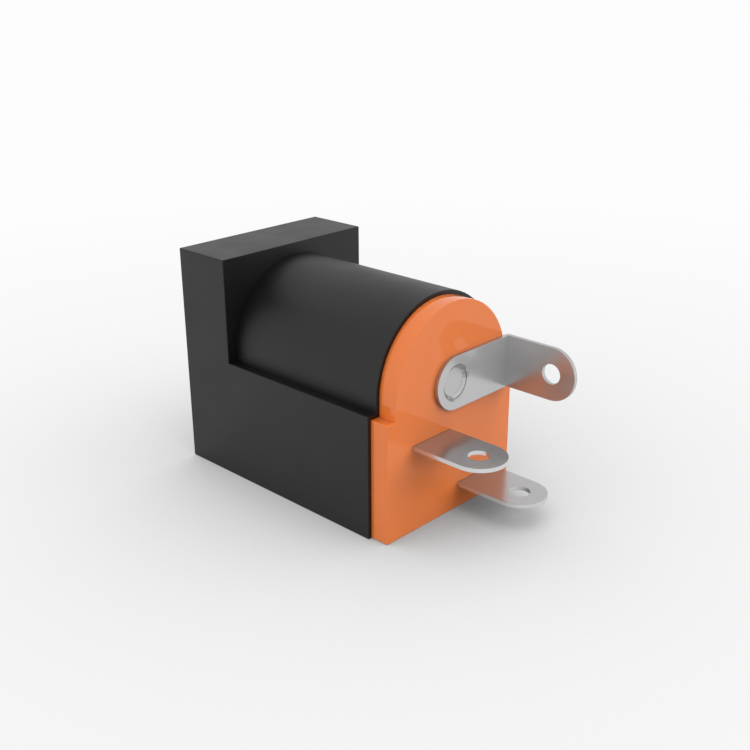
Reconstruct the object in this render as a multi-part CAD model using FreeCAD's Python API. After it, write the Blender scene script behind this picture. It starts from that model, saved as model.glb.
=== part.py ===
# DC barrel jack for a 5.5 mm plug: black housing, orange rear insulator, centre pin and three lugs.
# Millimetres. The origin is the centre of the plug opening, in the mating face.
# +Y runs back along the socket axis, +Z is up, and the housing stands on its base under the axis.
import FreeCAD, Part
import math
import os

# The plug, and the bore that takes it
PLUG_RADIUS = 2.75
PLUG_CLEARANCE = 0.4
BORE_LENGTH = 9.6
BORE_LEAD_IN = 0.3

# Housing
AXIS_HEIGHT = 6.5
BARREL_WALL = 0.82
LEDGE_WIDTH = 0.53
LEDGE_DROP = 0.57
FLANGE_ABOVE_BARREL = 0.57
FLANGE_THICKNESS = 3.3
FLOOR_WALL = 1.1
FRONT_WALL = 1.7
RECESS_DEPTH = 2.98
RECESS_WALL = 0.7
HOUSING_CORNER = 0.05
HOUSING_ROUNDING = 0.03

# Rear insulator: a cap that shows, and a spigot that fills the housing's recess
CAP_THICKNESS = 0.95
CAP_INSET = 0.2
CAP_CORNER = 0.05
CAP_ROUNDING = 0.03
SPIGOT_CLEARANCE = 0.05
SPIGOT_END_CLEARANCE = 0.1
SPIGOT_CORNER = 0.1
POCKET_CLEARANCE = 0.15

# Centre pin, with a collar on the insulator and a tail riveted into its lug
PIN_RADIUS = 1.0
PIN_TIP_DEPTH = 1.0
PIN_TIP_ROUNDING = 0.45
COLLAR_RADIUS = 1.6
COLLAR_THICKNESS = 0.7
SHANK_RADIUS = 0.95
PIN_HOLE_CLEARANCE = 0.03
RIVET_RADIUS = 0.8
RIVET_COUNTERSINK = 0.08
RIVET_SINK = 0.09
RIVET_GROOVE_WIDTH = 0.04
RIVET_GROOVE_DEPTH = 0.06
RIVET_DISH = 0.1

# Sheet metal of the three lugs
SHEET = 0.2
EDGE_BREAK = 0.01
LUG_WIDTH = 2.55
LUG_HOLE_RADIUS = 0.48
LUG_REACH = 2.65
LUG_ROOT = 0.4
SLOT_CLEARANCE = 0.01

# Pin lug, bent back along one flank
PIN_LUG_SIDE = 3.7

# Switch lug, whose foot rests on the leaf's tip when no plug is in
SWITCH_LUG_X = 1.4
SWITCH_LUG_DROP = 2.25
SWITCH_LEG_DEPTH = 1.5
SWITCH_BEND = 0.2
SWITCH_FOOT = 1.0

# Sleeve spring, one strip with the lowest lug, folded back as a leaf under the bore
SLEEVE_LUG_X = -1.75
LEAF_WIDTH = 2.5
LEAF_BITE = 0.4
FOLD_DEPTH = 2.1
FOLD_RISE = 1.15
FOLD_RADIUS = 0.6
FOLD_LENGTH = 1.3
RELIEF_CORNER = 0.25
HUMP_DEPTH = 6.4
HUMP_RADIUS = 1.2
TIP_DROP = 3.8
TIP_START = 0.3
TIP_BEND = 0.6
TIP_GAP = 0.2
CHANNEL_CLEARANCE = 0.12

# Sizes that follow from those above
bore_radius = PLUG_RADIUS + PLUG_CLEARANCE
barrel_radius = bore_radius + BARREL_WALL
half_width = barrel_radius + LEDGE_WIDTH
top_z = barrel_radius + FLANGE_ABOVE_BARREL
base_z = -AXIS_HEIGHT
floor_z = base_z + FLOOR_WALL
housing_rear = BORE_LENGTH + RECESS_DEPTH
cap_rear = housing_rear + CAP_THICKNESS
lug_outer = cap_rear + SHEET
lug_hole_y = cap_rear + LUG_REACH
spigot_front = BORE_LENGTH + SPIGOT_END_CLEARANCE
switch_leg_y = spigot_front + SWITCH_LEG_DEPTH
pocket_rear = switch_leg_y + SHEET / 2 + SWITCH_BEND + POCKET_CLEARANCE
leaf_side = LEAF_WIDTH / 2
sleeve_left = SLEEVE_LUG_X - LUG_WIDTH / 2
sleeve_right = SLEEVE_LUG_X + LUG_WIDTH / 2
switch_left = SWITCH_LUG_X - LUG_WIDTH / 2
switch_right = SWITCH_LUG_X + LUG_WIDTH / 2
fold_rear = FOLD_DEPTH + FOLD_LENGTH
fold_middle_z = floor_z + (SHEET + FOLD_RISE) / 2
leaf_crown_z = LEAF_BITE - PLUG_RADIUS

X_AXIS = FreeCAD.Vector(1, 0, 0)
Y_AXIS = FreeCAD.Vector(0, 1, 0)
Z_AXIS = FreeCAD.Vector(0, 0, 1)


# Shared shapes

def box(x_range, y_range, z_range):
    """A block between the given limits."""
    corner = FreeCAD.Vector(x_range[0], y_range[0], z_range[0])
    size = FreeCAD.Vector(x_range[1], y_range[1], z_range[1]) - corner
    return Part.makeBox(size.x, size.y, size.z, corner)


def rod(radius, y_range):
    """A cylinder on the socket axis."""
    return Part.makeCylinder(radius, y_range[1] - y_range[0], Y_AXIS * y_range[0], Y_AXIS)


def line(start, end):
    return Part.LineSegment(start, end).toShape()


def arc(start, middle, end):
    return Part.Arc(start, middle, end).toShape()


def is_sharp(solid, edge):
    """Whether the two faces that meet at the edge turn by more than 60 degrees."""
    faces = solid.ancestorsOfType(edge, Part.Face)
    if len(faces) != 2:
        return False
    middle = edge.valueAt((edge.FirstParameter + edge.LastParameter) / 2)
    normals = [face.normalAt(*face.Surface.parameter(middle)) for face in faces]
    return normals[0].getAngle(normals[1]) > math.radians(60)


def sharp_edges(solid, chosen):
    """The sharp edges whose middle point passes the test."""
    return [
        edge for edge in solid.Edges
        if is_sharp(solid, edge)
        and chosen(edge.valueAt((edge.FirstParameter + edge.LastParameter) / 2))
    ]


def round_edges(solid, radius, chosen):
    return solid.makeFillet(radius, sharp_edges(solid, chosen))


def break_edges(solid, chosen):
    """Take the burr off stamped edges with a small chamfer."""
    return solid.makeChamfer(EDGE_BREAK, sharp_edges(solid, chosen))


def at_depth(*depths):
    """A test for points in any of the planes across the socket axis."""
    return lambda point: any(abs(point.y - depth) < 1e-6 for depth in depths)


def rounded_block(half, z_range, corner, y_range):
    """A block centred on the socket axis, with its four long edges rounded."""
    block = box((-half, half), y_range, z_range)
    return round_edges(block, corner, at_depth(sum(y_range) / 2))


def arch(radius, bottom_z, y_range):
    """A half-round barrel over straight flanks that run down to bottom_z."""
    right_foot = FreeCAD.Vector(radius, y_range[0], bottom_z)
    left_foot = FreeCAD.Vector(-radius, y_range[0], bottom_z)
    right = FreeCAD.Vector(radius, y_range[0], 0)
    left = FreeCAD.Vector(-radius, y_range[0], 0)
    crown = FreeCAD.Vector(0, y_range[0], radius)
    outline = Part.Wire([
        line(left_foot, right_foot),
        line(right_foot, right),
        arc(right, crown, left),
        line(left, left_foot),
    ])
    return Part.Face(outline).extrude(Y_AXIS * (y_range[1] - y_range[0]))


def body(inset, bottom_z, corner, y_range, rounding=0):
    """The barrel on its block, moved in by inset, with the rear rim rounded if asked."""
    ledge_z = -LEDGE_DROP - inset
    block = rounded_block(half_width - inset, (bottom_z, ledge_z), corner, y_range)
    barrel = arch(barrel_radius - inset, (bottom_z + ledge_z) / 2, y_range)
    if rounding:
        block = round_edges(block, rounding, at_depth(y_range[1]))
        barrel = round_edges(barrel, rounding, at_depth(y_range[1]))
    return block.fuse(barrel).removeSplitter()


def folded_strip(points, bends, across):
    """Sheet metal whose centre line runs through the points, bent at each inner one.

    A bend is the radius of the centre line there; half a sheet leaves the inside sharp.
    Across is the strip's width as a vector.
    """
    side = FreeCAD.Vector(across).normalize()
    runs = [(end - start).normalize() for start, end in zip(points, points[1:])]
    faces = []
    for half in (SHEET / 2, -SHEET / 2):
        edges = []
        start = points[0] + side.cross(runs[0]) * half
        for corner, bend, into, out in zip(points[1:], bends, runs, runs[1:]):
            turn = into.getAngle(out)
            setback = bend * math.tan(turn / 2)
            inward = (out - into).normalize()
            centre = corner + inward * (bend / math.cos(turn / 2))
            near = corner - into * setback + side.cross(into) * half
            far = corner + out * setback + side.cross(out) * half
            edges.append(line(start, near))
            if not near.isEqual(far, 1e-6):
                edges.append(arc(near, centre - inward * (near - centre).Length, far))
            start = far
        edges.append(line(start, points[-1] + side.cross(runs[-1]) * half))
        faces.append(edges)
    caps = [line(faces[0][0].firstVertex().Point, faces[1][0].firstVertex().Point)]
    caps.append(line(faces[0][-1].lastVertex().Point, faces[1][-1].lastVertex().Point))
    outline = Part.Wire(Part.sortEdges(faces[0] + faces[1] + caps)[0])
    return Part.Face(outline).extrude(across)


def disc(centre, axis, radius):
    """A round of sheet metal centred on a point of the sheet's middle plane."""
    return Part.makeCylinder(radius, SHEET, centre - axis * (SHEET / 2), axis)


def hole(centre, axis, radius):
    """A cutter right through the sheet, centred on its middle plane."""
    return Part.makeCylinder(radius, 2 * SHEET, centre - axis * SHEET, axis)


def straight_lug(x, z):
    """A flat solder lug that stands out of the insulator, with a rounded end, hole and edges."""
    side = LUG_WIDTH / 2
    root = cap_rear - LUG_ROOT
    end = FreeCAD.Vector(x, lug_hole_y, z)
    blade = box((x - side, x + side), (root, lug_hole_y), (z - SHEET / 2, z + SHEET / 2))
    blade = blade.fuse(disc(end, Z_AXIS, side)).removeSplitter()
    blade = blade.cut(hole(end, Z_AXIS, LUG_HOLE_RADIUS))
    return break_edges(blade, lambda point: point.y > root + SHEET)


# Housing

def spring_channel():
    """The space under the bore that the leaf slides into from behind and bends down into."""
    low = box(
        (sleeve_left - CHANNEL_CLEARANCE, leaf_side + CHANNEL_CLEARANCE),
        (FRONT_WALL, BORE_LENGTH),
        (floor_z, leaf_z(fold_rear) + SHEET),
    )
    high = box(
        (-leaf_side - CHANNEL_CLEARANCE, leaf_side + CHANNEL_CLEARANCE),
        (FRONT_WALL, BORE_LENGTH),
        (floor_z, leaf_crown_z),
    )
    return low.fuse(high)


def housing():
    flange = rounded_block(half_width, (base_z, top_z), HOUSING_CORNER, (0, FLANGE_THICKNESS))
    flange = round_edges(flange, HOUSING_ROUNDING, at_depth(0, FLANGE_THICKNESS))
    rear = body(
        0, base_z, HOUSING_CORNER, (FLANGE_THICKNESS / 2, housing_rear), HOUSING_ROUNDING
    )
    lead_in = Part.makeCone(
        bore_radius + BORE_LEAD_IN, bore_radius, BORE_LEAD_IN, FreeCAD.Vector(), Y_AXIS
    )
    recess = body(RECESS_WALL, floor_z, SPIGOT_CORNER, (BORE_LENGTH, housing_rear))
    solid = flange.fuse(rear).removeSplitter()
    for cavity in (rod(bore_radius, (0, BORE_LENGTH)), lead_in, recess, spring_channel()):
        solid = solid.cut(cavity)
    return solid.removeSplitter()


# Rear insulator

def rear_insulator():
    cap = body(CAP_INSET, base_z, CAP_CORNER, (housing_rear, cap_rear), CAP_ROUNDING)
    spigot = body(
        RECESS_WALL + SPIGOT_CLEARANCE,
        floor_z + SPIGOT_CLEARANCE,
        SPIGOT_CORNER,
        (spigot_front, housing_rear),
    )
    solid = cap.fuse(spigot)
    collar_seat = spigot_front + COLLAR_THICKNESS
    solid = solid.cut(rod(SHANK_RADIUS + PIN_HOLE_CLEARANCE, (spigot_front, cap_rear)))
    solid = solid.cut(rod(COLLAR_RADIUS + PIN_HOLE_CLEARANCE, (spigot_front, collar_seat)))
    pocket = box(
        (-leaf_side - POCKET_CLEARANCE, switch_right + POCKET_CLEARANCE),
        (spigot_front, pocket_rear),
        (base_z, -SWITCH_LUG_DROP + POCKET_CLEARANCE),
    )
    switch_slot = box(
        (switch_left - SLOT_CLEARANCE, switch_right + SLOT_CLEARANCE),
        (spigot_front, cap_rear),
        (-SWITCH_LUG_DROP - SHEET, -SWITCH_LUG_DROP + SLOT_CLEARANCE),
    )
    sleeve_slot = box(
        (sleeve_left - SLOT_CLEARANCE, sleeve_right + SLOT_CLEARANCE),
        (spigot_front, cap_rear),
        (floor_z, floor_z + SHEET + SLOT_CLEARANCE),
    )
    for cavity in (pocket, switch_slot, sleeve_slot):
        solid = solid.cut(cavity)
    return solid.removeSplitter()


# Centre pin

def centre_pin():
    """The pin, its collar and its riveted tail, sunk in the lug's hole and dished at the end."""
    rim = lug_outer - RIVET_SINK
    rim_radius = RIVET_RADIUS - RIVET_GROOVE_WIDTH
    profile = [
        (0, PIN_TIP_DEPTH),
        (PIN_RADIUS, PIN_TIP_DEPTH),
        (PIN_RADIUS, spigot_front),
        (COLLAR_RADIUS, spigot_front),
        (COLLAR_RADIUS, spigot_front + COLLAR_THICKNESS),
        (SHANK_RADIUS, spigot_front + COLLAR_THICKNESS),
        (SHANK_RADIUS, cap_rear),
        (RIVET_RADIUS, cap_rear),
        (RIVET_RADIUS, rim - RIVET_GROOVE_DEPTH),
        (rim_radius, rim - RIVET_GROOVE_DEPTH),
        (rim_radius, rim),
        (rim_radius - RIVET_DISH, rim - RIVET_DISH),
        (0, rim - RIVET_DISH),
    ]
    corners = [FreeCAD.Vector(radius, depth, 0) for radius, depth in profile]
    outline = Part.makePolygon(corners + corners[:1])
    solid = Part.Face(outline).revolve(FreeCAD.Vector(), Y_AXIS, 360)
    return round_edges(solid, PIN_TIP_ROUNDING, at_depth(PIN_TIP_DEPTH))


# Pin lug

def pin_lug():
    """A flat strip riveted to the pin's tail and bent back along the flank."""
    plate_y = cap_rear + SHEET / 2
    leg_x = -PIN_LUG_SIDE - SHEET / 2
    low_edge = Z_AXIS * (-LUG_WIDTH / 2)
    rivet = FreeCAD.Vector(0, plate_y, 0)
    end = FreeCAD.Vector(leg_x, lug_hole_y, 0)
    route = [rivet, FreeCAD.Vector(leg_x, plate_y, 0), end]
    strip = folded_strip([point + low_edge for point in route], [SHEET / 2], Z_AXIS * LUG_WIDTH)
    strip = strip.fuse(disc(rivet, Y_AXIS, LUG_WIDTH / 2)).fuse(disc(end, X_AXIS, LUG_WIDTH / 2))
    strip = strip.removeSplitter()
    countersink = Part.makeCone(
        RIVET_RADIUS,
        RIVET_RADIUS + RIVET_COUNTERSINK,
        RIVET_COUNTERSINK,
        Y_AXIS * (lug_outer - RIVET_COUNTERSINK),
        Y_AXIS,
    )
    cutters = [hole(rivet, Y_AXIS, RIVET_RADIUS), countersink, hole(end, X_AXIS, LUG_HOLE_RADIUS)]
    for cutter in cutters:
        strip = strip.cut(cutter)
    inner_corner = FreeCAD.Vector(-PIN_LUG_SIDE, lug_outer, 0)
    return break_edges(strip, lambda point: not point.isEqual(inner_corner, 1e-6))


# Switch lug

def switch_lug():
    """The middle lug, stepped down inside the insulator to a foot on the leaf's tip."""
    lug_z = -SWITCH_LUG_DROP - SHEET / 2
    foot_z = -TIP_DROP + SHEET / 2
    route = [
        FreeCAD.Vector(switch_left, cap_rear, lug_z),
        FreeCAD.Vector(switch_left, switch_leg_y, lug_z),
        FreeCAD.Vector(switch_left, switch_leg_y, foot_z),
        FreeCAD.Vector(switch_left, switch_leg_y - SWITCH_FOOT, foot_z),
    ]
    bend = SWITCH_BEND + SHEET / 2
    strip = folded_strip(route, [bend, bend], X_AXIS * LUG_WIDTH)
    return strip.fuse(straight_lug(SWITCH_LUG_X, lug_z)).removeSplitter()


# Sleeve spring

def leaf_z(y):
    """Height of the leaf's rising run at a depth, on its centre line."""
    foot = floor_z + SHEET / 2 + FOLD_RISE
    slope = (leaf_crown_z - foot) / (HUMP_DEPTH - FOLD_DEPTH)
    return foot + slope * (y - FOLD_DEPTH)


def relief(strip_edge_x, outside_x, z_range):
    """What is cut from the blank beside a narrow run, with a rounded inner corner."""
    x_range = (min(strip_edge_x, outside_x), max(strip_edge_x, outside_x))
    waste = box(x_range, (fold_rear, cap_rear), z_range)
    inner = FreeCAD.Vector(strip_edge_x, fold_rear, sum(z_range) / 2)
    return round_edges(waste, RELIEF_CORNER, lambda point: point.isEqual(inner, 1e-6))


def sleeve_spring():
    """The floor strip, folded up at the front and back as a humped leaf, with its lug."""
    strip_z = floor_z + SHEET / 2
    tip_z = -TIP_DROP - SHEET / 2
    tip_y = spigot_front + TIP_START
    tip_end = switch_leg_y - SHEET / 2 - TIP_GAP
    route = [
        FreeCAD.Vector(sleeve_left, cap_rear, strip_z),
        FreeCAD.Vector(sleeve_left, FOLD_DEPTH, strip_z),
        FreeCAD.Vector(sleeve_left, FOLD_DEPTH, strip_z + FOLD_RISE),
        FreeCAD.Vector(sleeve_left, HUMP_DEPTH, leaf_crown_z),
        FreeCAD.Vector(sleeve_left, tip_y, tip_z),
        FreeCAD.Vector(sleeve_left, tip_end, tip_z),
    ]
    bends = [FOLD_RADIUS, FOLD_RADIUS, HUMP_RADIUS, TIP_BEND]
    strip = folded_strip(route, bends, X_AXIS * (leaf_side - sleeve_left))
    beside_lug = relief(sleeve_right, leaf_side + SHEET, (base_z, fold_middle_z))
    beside_leaf = relief(-leaf_side, sleeve_left - SHEET, (fold_middle_z, 0))
    strip = strip.cut(beside_lug).cut(beside_leaf)
    return strip.fuse(straight_lug(SLEEVE_LUG_X, strip_z)).removeSplitter()


# Write one file for each piece

pieces = {
    "housing": housing(),
    "rear_insulator": rear_insulator(),
    "centre_pin": centre_pin(),
    "pin_lug": pin_lug(),
    "switch_lug": switch_lug(),
    "sleeve_spring": sleeve_spring(),
}
os.makedirs("parts", exist_ok=True)
for name, shape in pieces.items():
    shape.exportStep(f"parts/{name}.step")
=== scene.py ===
# DC barrel jack: camera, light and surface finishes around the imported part.
# Metres, in the part's own frame: +Y runs back to the lugs and +Z is up.
import bpy
import math
from mathutils import Matrix, Vector


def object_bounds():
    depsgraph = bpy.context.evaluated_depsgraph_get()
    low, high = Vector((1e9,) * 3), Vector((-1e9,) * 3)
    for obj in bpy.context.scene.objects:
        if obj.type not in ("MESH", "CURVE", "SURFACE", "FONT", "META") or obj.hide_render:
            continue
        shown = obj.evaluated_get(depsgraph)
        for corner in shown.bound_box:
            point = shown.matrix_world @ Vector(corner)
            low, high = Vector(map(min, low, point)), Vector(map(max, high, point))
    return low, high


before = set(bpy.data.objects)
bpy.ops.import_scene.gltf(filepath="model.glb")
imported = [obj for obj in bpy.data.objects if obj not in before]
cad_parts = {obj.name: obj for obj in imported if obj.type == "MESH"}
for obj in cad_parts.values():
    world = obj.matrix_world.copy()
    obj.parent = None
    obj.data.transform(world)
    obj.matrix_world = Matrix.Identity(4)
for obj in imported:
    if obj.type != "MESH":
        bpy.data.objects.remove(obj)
cad_box = [list(corner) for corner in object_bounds()]

MM = 0.001

# Camera of the photograph, in millimetres, degrees and pixels
CAMERA_PLACE = (33.542, 40.822, 17.553)
CAMERA_YAW = -136.256
CAMERA_DOWN = 21.773
CAMERA_ROLL = -0.242
FOCAL_PIXELS = 1047.67
IMAGE_PIXELS = 750
SENSOR_WIDTH = 36

# Colours of the mouldings, each from the darker to the lighter of its slightly uneven tone
BLACK = ((0.0012, 0.0012, 0.0012), (0.0026, 0.0026, 0.0026))
ORANGE = ((0.80, 0.190, 0.035), (0.83, 0.204, 0.040))

# Grey tones of the plated pieces, of their sheared edges and other sides, lighter as a painted
# highlight, and of such edges that look up, darker as painted shade
PIN_TONE = 0.52
PIN_LUG_TONE = 0.54
FLAT_LUG_TONE = 0.445
SIDE_HIGHLIGHT_TONE = 0.68
EDGE_UP_SHADE_TONE = 0.45
TONE_SPREAD = 1.04

# Floor: its paint near the part and far away, darker near the part as painted shade, the light
# that it throws back, and its shadow, painted from ambient occlusion onto a glow
FLOOR_RADIUS = 2.0
FLOOR_GAP = 0.01 * MM
FLOOR_SIDES = 96
FLOOR_NEAR = 0.922
FLOOR_FAR = 0.975
FLOOR_NEAR_DISTANCE = 12 * MM
FLOOR_FAR_DISTANCE = 65 * MM
FLOOR_BOUNCE = 0.5
SHADOW_REACH = 100 * MM
SHADOW_BOUNCE = 0.12

# Soft light: even from all round, and fuller towards the key and the fill
SKY = 0.36
LAMP_FOCUS = 4
KEY = 2.45
KEY_FROM = Vector((-0.45, 0.68, 0.56)).normalized()
FILL = 2.1
FILL_FROM = Vector((0.95, -0.27, 0.17)).normalized()


# Surface nodes

class Finish:
    """A material with a Principled surface, and short ways to add nodes to it."""

    def __init__(self, name, **surface):
        self.material = bpy.data.materials.new(name)
        self.material.use_nodes = True
        self.nodes = self.material.node_tree.nodes
        self.links = self.material.node_tree.links
        self.surface = self.nodes["Principled BSDF"]
        self.show(**surface)

    def add(self, kind, settings=None, **inputs):
        """A node of this kind, with its inputs set to values or linked to other nodes' outputs."""
        node = self.nodes.new(kind)
        for key, value in (settings or {}).items():
            setattr(node, key, value)
        for key, value in inputs.items():
            self.feed(node, key.replace("_", " "), value)
        return node

    def feed(self, node, socket, value):
        if isinstance(value, bpy.types.NodeSocket):
            self.links.new(value, node.inputs[socket])
        else:
            node.inputs[socket].default_value = value

    def show(self, **inputs):
        """Set or drive the surface's inputs."""
        for socket, value in inputs.items():
            self.feed(self.surface, socket.replace("_", " "), value)
        return self.material

    def place(self, stretch=(1, 1, 1)):
        """Where a point is in the part's frame, in millimetres, stretched along each axis."""
        coordinates = self.add("ShaderNodeTexCoord")
        scale = [factor / MM for factor in stretch]
        return self.add(
            "ShaderNodeMapping", Vector=coordinates.outputs["Object"], Scale=scale
        ).outputs["Vector"]

    def noise(self, place, grain, detail=3.0, roughness=0.55):
        """Soft noise whose spots are about grain millimetres across."""
        return self.add(
            "ShaderNodeTexNoise", Vector=place, Scale=1 / grain, Detail=detail, Roughness=roughness
        ).outputs["Fac"]

    def spread(self, value, low, high, start=0.3, end=0.7):
        """A value between start and end, mapped to the range from low to high."""
        return self.add(
            "ShaderNodeMapRange",
            Value=value,
            From_Min=start,
            From_Max=end,
            To_Min=low,
            To_Max=high,
        ).outputs["Result"]

    def blend(self, share, first, second):
        """A colour between two colours, each a tuple or another node's output."""
        node = self.add("ShaderNodeMix", {"data_type": "RGBA"})
        self.feed(node, 0, share)
        for socket, colour in ((6, first), (7, second)):
            self.feed(node, socket, (*colour, 1) if isinstance(colour, tuple) else colour)
        return node.outputs[2]

    def bump(self, height, depth, strength=1.0, under=None):
        """Surface relief of this depth in millimetres, on top of other relief if given."""
        node = self.add("ShaderNodeBump", Height=height, Distance=depth * MM, Strength=strength)
        if under is not None:
            self.feed(node, "Normal", under)
        return node.outputs["Normal"]

    def across(self, axis):
        """1 where the surface looks across the axis, and 0 where it looks along it."""
        coordinates = self.add("ShaderNodeTexCoord")
        parts = self.add("ShaderNodeSeparateXYZ", Vector=coordinates.outputs["Normal"])
        size = self.add("ShaderNodeMath", {"operation": "ABSOLUTE"})
        self.feed(size, 0, parts.outputs[axis])
        return self.spread(size.outputs["Value"], 1, 0)


def dress(names, material):
    """Give CAD nodes a material in place of their plain one."""
    for name in names:
        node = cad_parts[name]
        node.data.materials.clear()
        node.data.materials.append(material)


# Finishes of the part

def black_plastic():
    """Satin moulded black with a fine grain."""
    finish = Finish("housing_black", IOR=1.46)
    place = finish.place()
    cloud = finish.noise(place, grain=2.5)
    texture = finish.noise(place, grain=0.06, detail=2.0)
    return finish.show(
        Base_Color=finish.blend(cloud, *BLACK),
        Roughness=finish.spread(cloud, low=0.42, high=0.5),
        Normal=finish.bump(texture, depth=0.0012, strength=0.5),
    )


def orange_plastic():
    """Glossy moulded orange with a faint ripple."""
    finish = Finish("insulator_orange", IOR=1.5)
    place = finish.place()
    cloud = finish.noise(place, grain=2.0)
    ripple = finish.noise(place, grain=0.9, detail=1.0)
    texture = finish.noise(place, grain=0.05, detail=2.0)
    relief = finish.bump(ripple, depth=0.003, strength=0.3)
    return finish.show(
        Base_Color=finish.blend(cloud, *ORANGE),
        Roughness=finish.spread(cloud, low=0.03, high=0.07),
        Normal=finish.bump(texture, depth=0.0004, strength=0.4, under=relief),
    )


def plating(name, lines, axis, tone, side_tone):
    """Satin silver plating with faint lines and a slightly uneven tone.

    Surfaces that look along the axis have the tone, and those that look across it the side tone.
    The difference between the two is painted light: a painted highlight where the side tone is
    lighter, and painted shade where the tone is darker.
    """
    finish = Finish(name, Metallic=0.82)
    cloud = finish.noise(finish.place(), grain=0.8)
    # Painted light: a mask of which way the surface looks, giving lighter or darker grey by facing
    painted_light_mask = finish.across(axis)
    low = finish.blend(painted_light_mask, (tone,) * 3, (side_tone,) * 3)
    high = finish.blend(painted_light_mask, (TONE_SPREAD * tone,) * 3, (TONE_SPREAD * side_tone,) * 3)
    return finish.show(
        Base_Color=finish.blend(cloud, low, high),
        Roughness=finish.spread(cloud, low=0.19, high=0.25),
        Normal=finish.bump(lines(finish), depth=0.0005, strength=0.3),
    )


def rolled(finish):
    """Lines along a rolled strip."""
    return finish.noise(finish.place(stretch=(12, 0.6, 12)), grain=0.5, detail=2.0)


def turned(finish):
    """Tool rings round the pin's axis."""
    parts = finish.add("ShaderNodeSeparateXYZ", Vector=finish.place())
    across = finish.add("ShaderNodeCombineXYZ", X=parts.outputs["X"], Z=parts.outputs["Z"])
    radius = finish.add("ShaderNodeVectorMath", {"operation": "LENGTH"})
    finish.feed(radius, 0, across.outputs["Vector"])
    along = finish.add(
        "ShaderNodeCombineXYZ", X=radius.outputs["Value"], Y=parts.outputs["Y"]
    )
    return finish.noise(along.outputs["Vector"], grain=0.04, detail=2.0)


# Stage

def pale_floor():
    """A white floor, darker near the part by painted shade. What looks at it sees it glow, with
    the part's soft shadow painted on from ambient occlusion and a little real light mixed in.
    """
    finish = Finish("pale_floor", Base_Color=(FLOOR_BOUNCE, FLOOR_BOUNCE, FLOOR_BOUNCE, 1))
    finish.show(Roughness=1.0, Specular_IOR_Level=0.0)
    coordinates = finish.add("ShaderNodeTexCoord")
    distance = finish.add("ShaderNodeVectorMath", {"operation": "LENGTH"})
    finish.feed(distance, 0, coordinates.outputs["Object"])
    # Painted shade: the floor's paint is darker near the part and lighter far away
    share = finish.spread(
        distance.outputs["Value"], 0, 1, FLOOR_NEAR_DISTANCE, FLOOR_FAR_DISTANCE
    )
    paint_and_shade = finish.blend(share, (FLOOR_NEAR,) * 3, (FLOOR_FAR,) * 3)
    # Painted shadow: ambient occlusion darkens the paint where the part hides the sky
    open_sky = finish.add(
        "ShaderNodeAmbientOcclusion", {"samples": 16}, Color=paint_and_shade, Distance=SHADOW_REACH
    )
    # The floor glows with that painted shadow instead of being lit, for the camera and mirrored
    # rays
    shade = finish.add("ShaderNodeEmission", Color=open_sky.outputs["Color"])
    chalk = finish.add("ShaderNodeBsdfDiffuse", Color=paint_and_shade)
    # Mostly the glow with its painted shadow, with a small share of real lit floor
    seen = finish.add("ShaderNodeMixShader", Fac=SHADOW_BOUNCE)
    finish.feed(seen, 1, shade.outputs["Emission"])
    finish.feed(seen, 2, chalk.outputs["BSDF"])
    pick = finish.add("ShaderNodeMixShader", Fac=looked_at(finish.nodes, finish.links))
    finish.feed(pick, 1, finish.surface.outputs["BSDF"])
    finish.feed(pick, 2, seen.outputs["Shader"])
    finish.feed(finish.nodes["Material Output"], "Surface", pick.outputs["Shader"])
    return finish.material


def looked_at(nodes, links):
    """1 for rays from the camera and for mirrored or refracted ones, and 0 for others."""
    path = nodes.new("ShaderNodeLightPath")
    total = path.outputs["Is Camera Ray"]
    for kind in ("Is Glossy Ray", "Is Transmission Ray"):
        either = nodes.new("ShaderNodeMath")
        either.operation = "MAXIMUM"
        links.new(total, either.inputs[0])
        links.new(path.outputs[kind], either.inputs[1])
        total = either.outputs["Value"]
    return total


def make_floor(height, centre):
    corners = [
        (
            FLOOR_RADIUS * math.cos(2 * math.pi * step / FLOOR_SIDES),
            FLOOR_RADIUS * math.sin(2 * math.pi * step / FLOOR_SIDES),
            0,
        )
        for step in range(FLOOR_SIDES)
    ]
    mesh = bpy.data.meshes.new("floor")
    mesh.from_pydata(corners, [], [range(FLOOR_SIDES)])
    mesh.materials.append(pale_floor())
    floor = bpy.data.objects.new("floor", mesh)
    floor.location = (centre.x, centre.y, height - FLOOR_GAP)
    bpy.context.scene.collection.objects.link(floor)


def lobe(nodes, links, source):
    """1 towards the source, falling softly to 0 at right angles to it."""
    towards = nodes.new("ShaderNodeVectorMath")
    towards.operation = "DOT_PRODUCT"
    towards.inputs[1].default_value = source
    links.new(nodes.new("ShaderNodeTexCoord").outputs["Generated"], towards.inputs[0])
    lit_side = nodes.new("ShaderNodeClamp")
    links.new(towards.outputs["Value"], lit_side.inputs["Value"])
    focus = nodes.new("ShaderNodeMath")
    focus.operation = "POWER"
    focus.inputs[1].default_value = LAMP_FOCUS
    links.new(lit_side.outputs["Result"], focus.inputs[0])
    return focus.outputs["Value"]


def soft_light(nodes, links):
    """The strength of the light from each side: the even sky, the key and the fill."""
    key = nodes.new("ShaderNodeMath")
    key.operation = "MULTIPLY_ADD"
    key.inputs[1].default_value = KEY
    key.inputs[2].default_value = SKY
    links.new(lobe(nodes, links, KEY_FROM), key.inputs[0])
    both = nodes.new("ShaderNodeMath")
    both.operation = "MULTIPLY_ADD"
    both.inputs[1].default_value = FILL
    links.new(lobe(nodes, links, FILL_FROM), both.inputs[0])
    links.new(key.outputs["Value"], both.inputs[2])
    return both.outputs["Value"]


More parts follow.
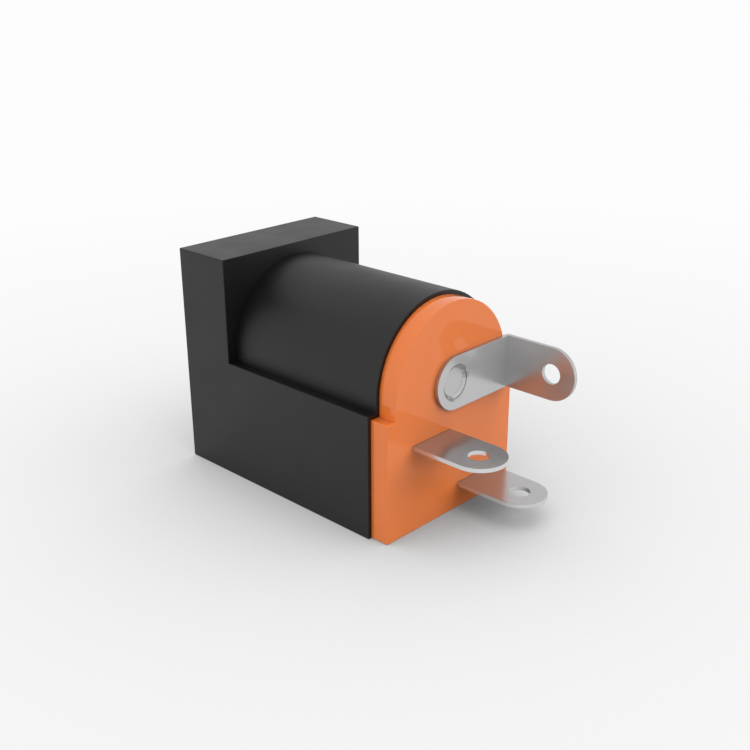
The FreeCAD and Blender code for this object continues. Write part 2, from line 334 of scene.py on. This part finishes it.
def make_sky():
    """Soft white light from all round, fuller from the key and the fill, and a pale backdrop."""
    world = bpy.data.worlds.new("studio")
    bpy.context.scene.world = world
    world.use_nodes = True
    nodes = world.node_tree.nodes
    links = world.node_tree.links
    light = nodes["Background"]
    light.inputs["Color"].default_value = (1, 1, 1, 1)
    links.new(soft_light(nodes, links), light.inputs["Strength"])
    backdrop = nodes.new("ShaderNodeBackground")
    backdrop.inputs["Color"].default_value = (FLOOR_FAR, FLOOR_FAR, FLOOR_FAR, 1)
    pick = nodes.new("ShaderNodeMixShader")
    links.new(looked_at(nodes, links), pick.inputs["Fac"])
    links.new(light.outputs["Background"], pick.inputs[1])
    links.new(backdrop.outputs["Background"], pick.inputs[2])
    links.new(pick.outputs["Shader"], nodes["World Output"].inputs["Surface"])


def make_camera():
    yaw = math.radians(CAMERA_YAW)
    down = math.radians(CAMERA_DOWN)
    roll = math.radians(CAMERA_ROLL)
    forward = Vector(
        (math.cos(down) * math.cos(yaw), math.cos(down) * math.sin(yaw), -math.sin(down))
    )
    level = forward.cross(Vector((0, 0, 1))).normalized()
    upright = level.cross(forward)
    right = level * math.cos(roll) + upright * math.sin(roll)
    up = upright * math.cos(roll) - level * math.sin(roll)
    data = bpy.data.cameras.new("camera")
    data.sensor_width = SENSOR_WIDTH
    data.lens = FOCAL_PIXELS * SENSOR_WIDTH / IMAGE_PIXELS
    data.clip_start = 1 * MM
    data.clip_end = 2 * FLOOR_RADIUS
    camera = bpy.data.objects.new("camera", data)
    turn = Matrix((right, up, -forward)).transposed().to_4x4()
    camera.matrix_world = Matrix.Translation(Vector(CAMERA_PLACE) * MM) @ turn
    bpy.context.scene.collection.objects.link(camera)
    bpy.context.scene.camera = camera


dress(["housing"], black_plastic())
dress(["rear_insulator"], orange_plastic())
# Painted shade: the pin lug's faces that look up or down are darker grey
dress(["pin_lug"], plating("plated_strip", rolled, "Z", EDGE_UP_SHADE_TONE, PIN_LUG_TONE))
# Painted highlight: the sheet lugs' sheared edges are lighter grey
dress(
    ["switch_lug", "sleeve_spring"],
    plating("plated_sheet", rolled, "Z", FLAT_LUG_TONE, SIDE_HIGHLIGHT_TONE),
)
# Painted highlight: the pin's sides that look across its axis are lighter grey
dress(["centre_pin"], plating("plated_pin", turned, "Y", PIN_TONE, SIDE_HIGHLIGHT_TONE))

low, high = (Vector(corner) for corner in cad_box)
make_floor(low.z, (low + high) / 2)
make_sky()
make_camera()
bpy.context.scene.view_settings.view_transform = "Standard"
bpy.context.scene.cycles.caustics_reflective = False
bpy.context.scene.cycles.diffuse_bounces = 1
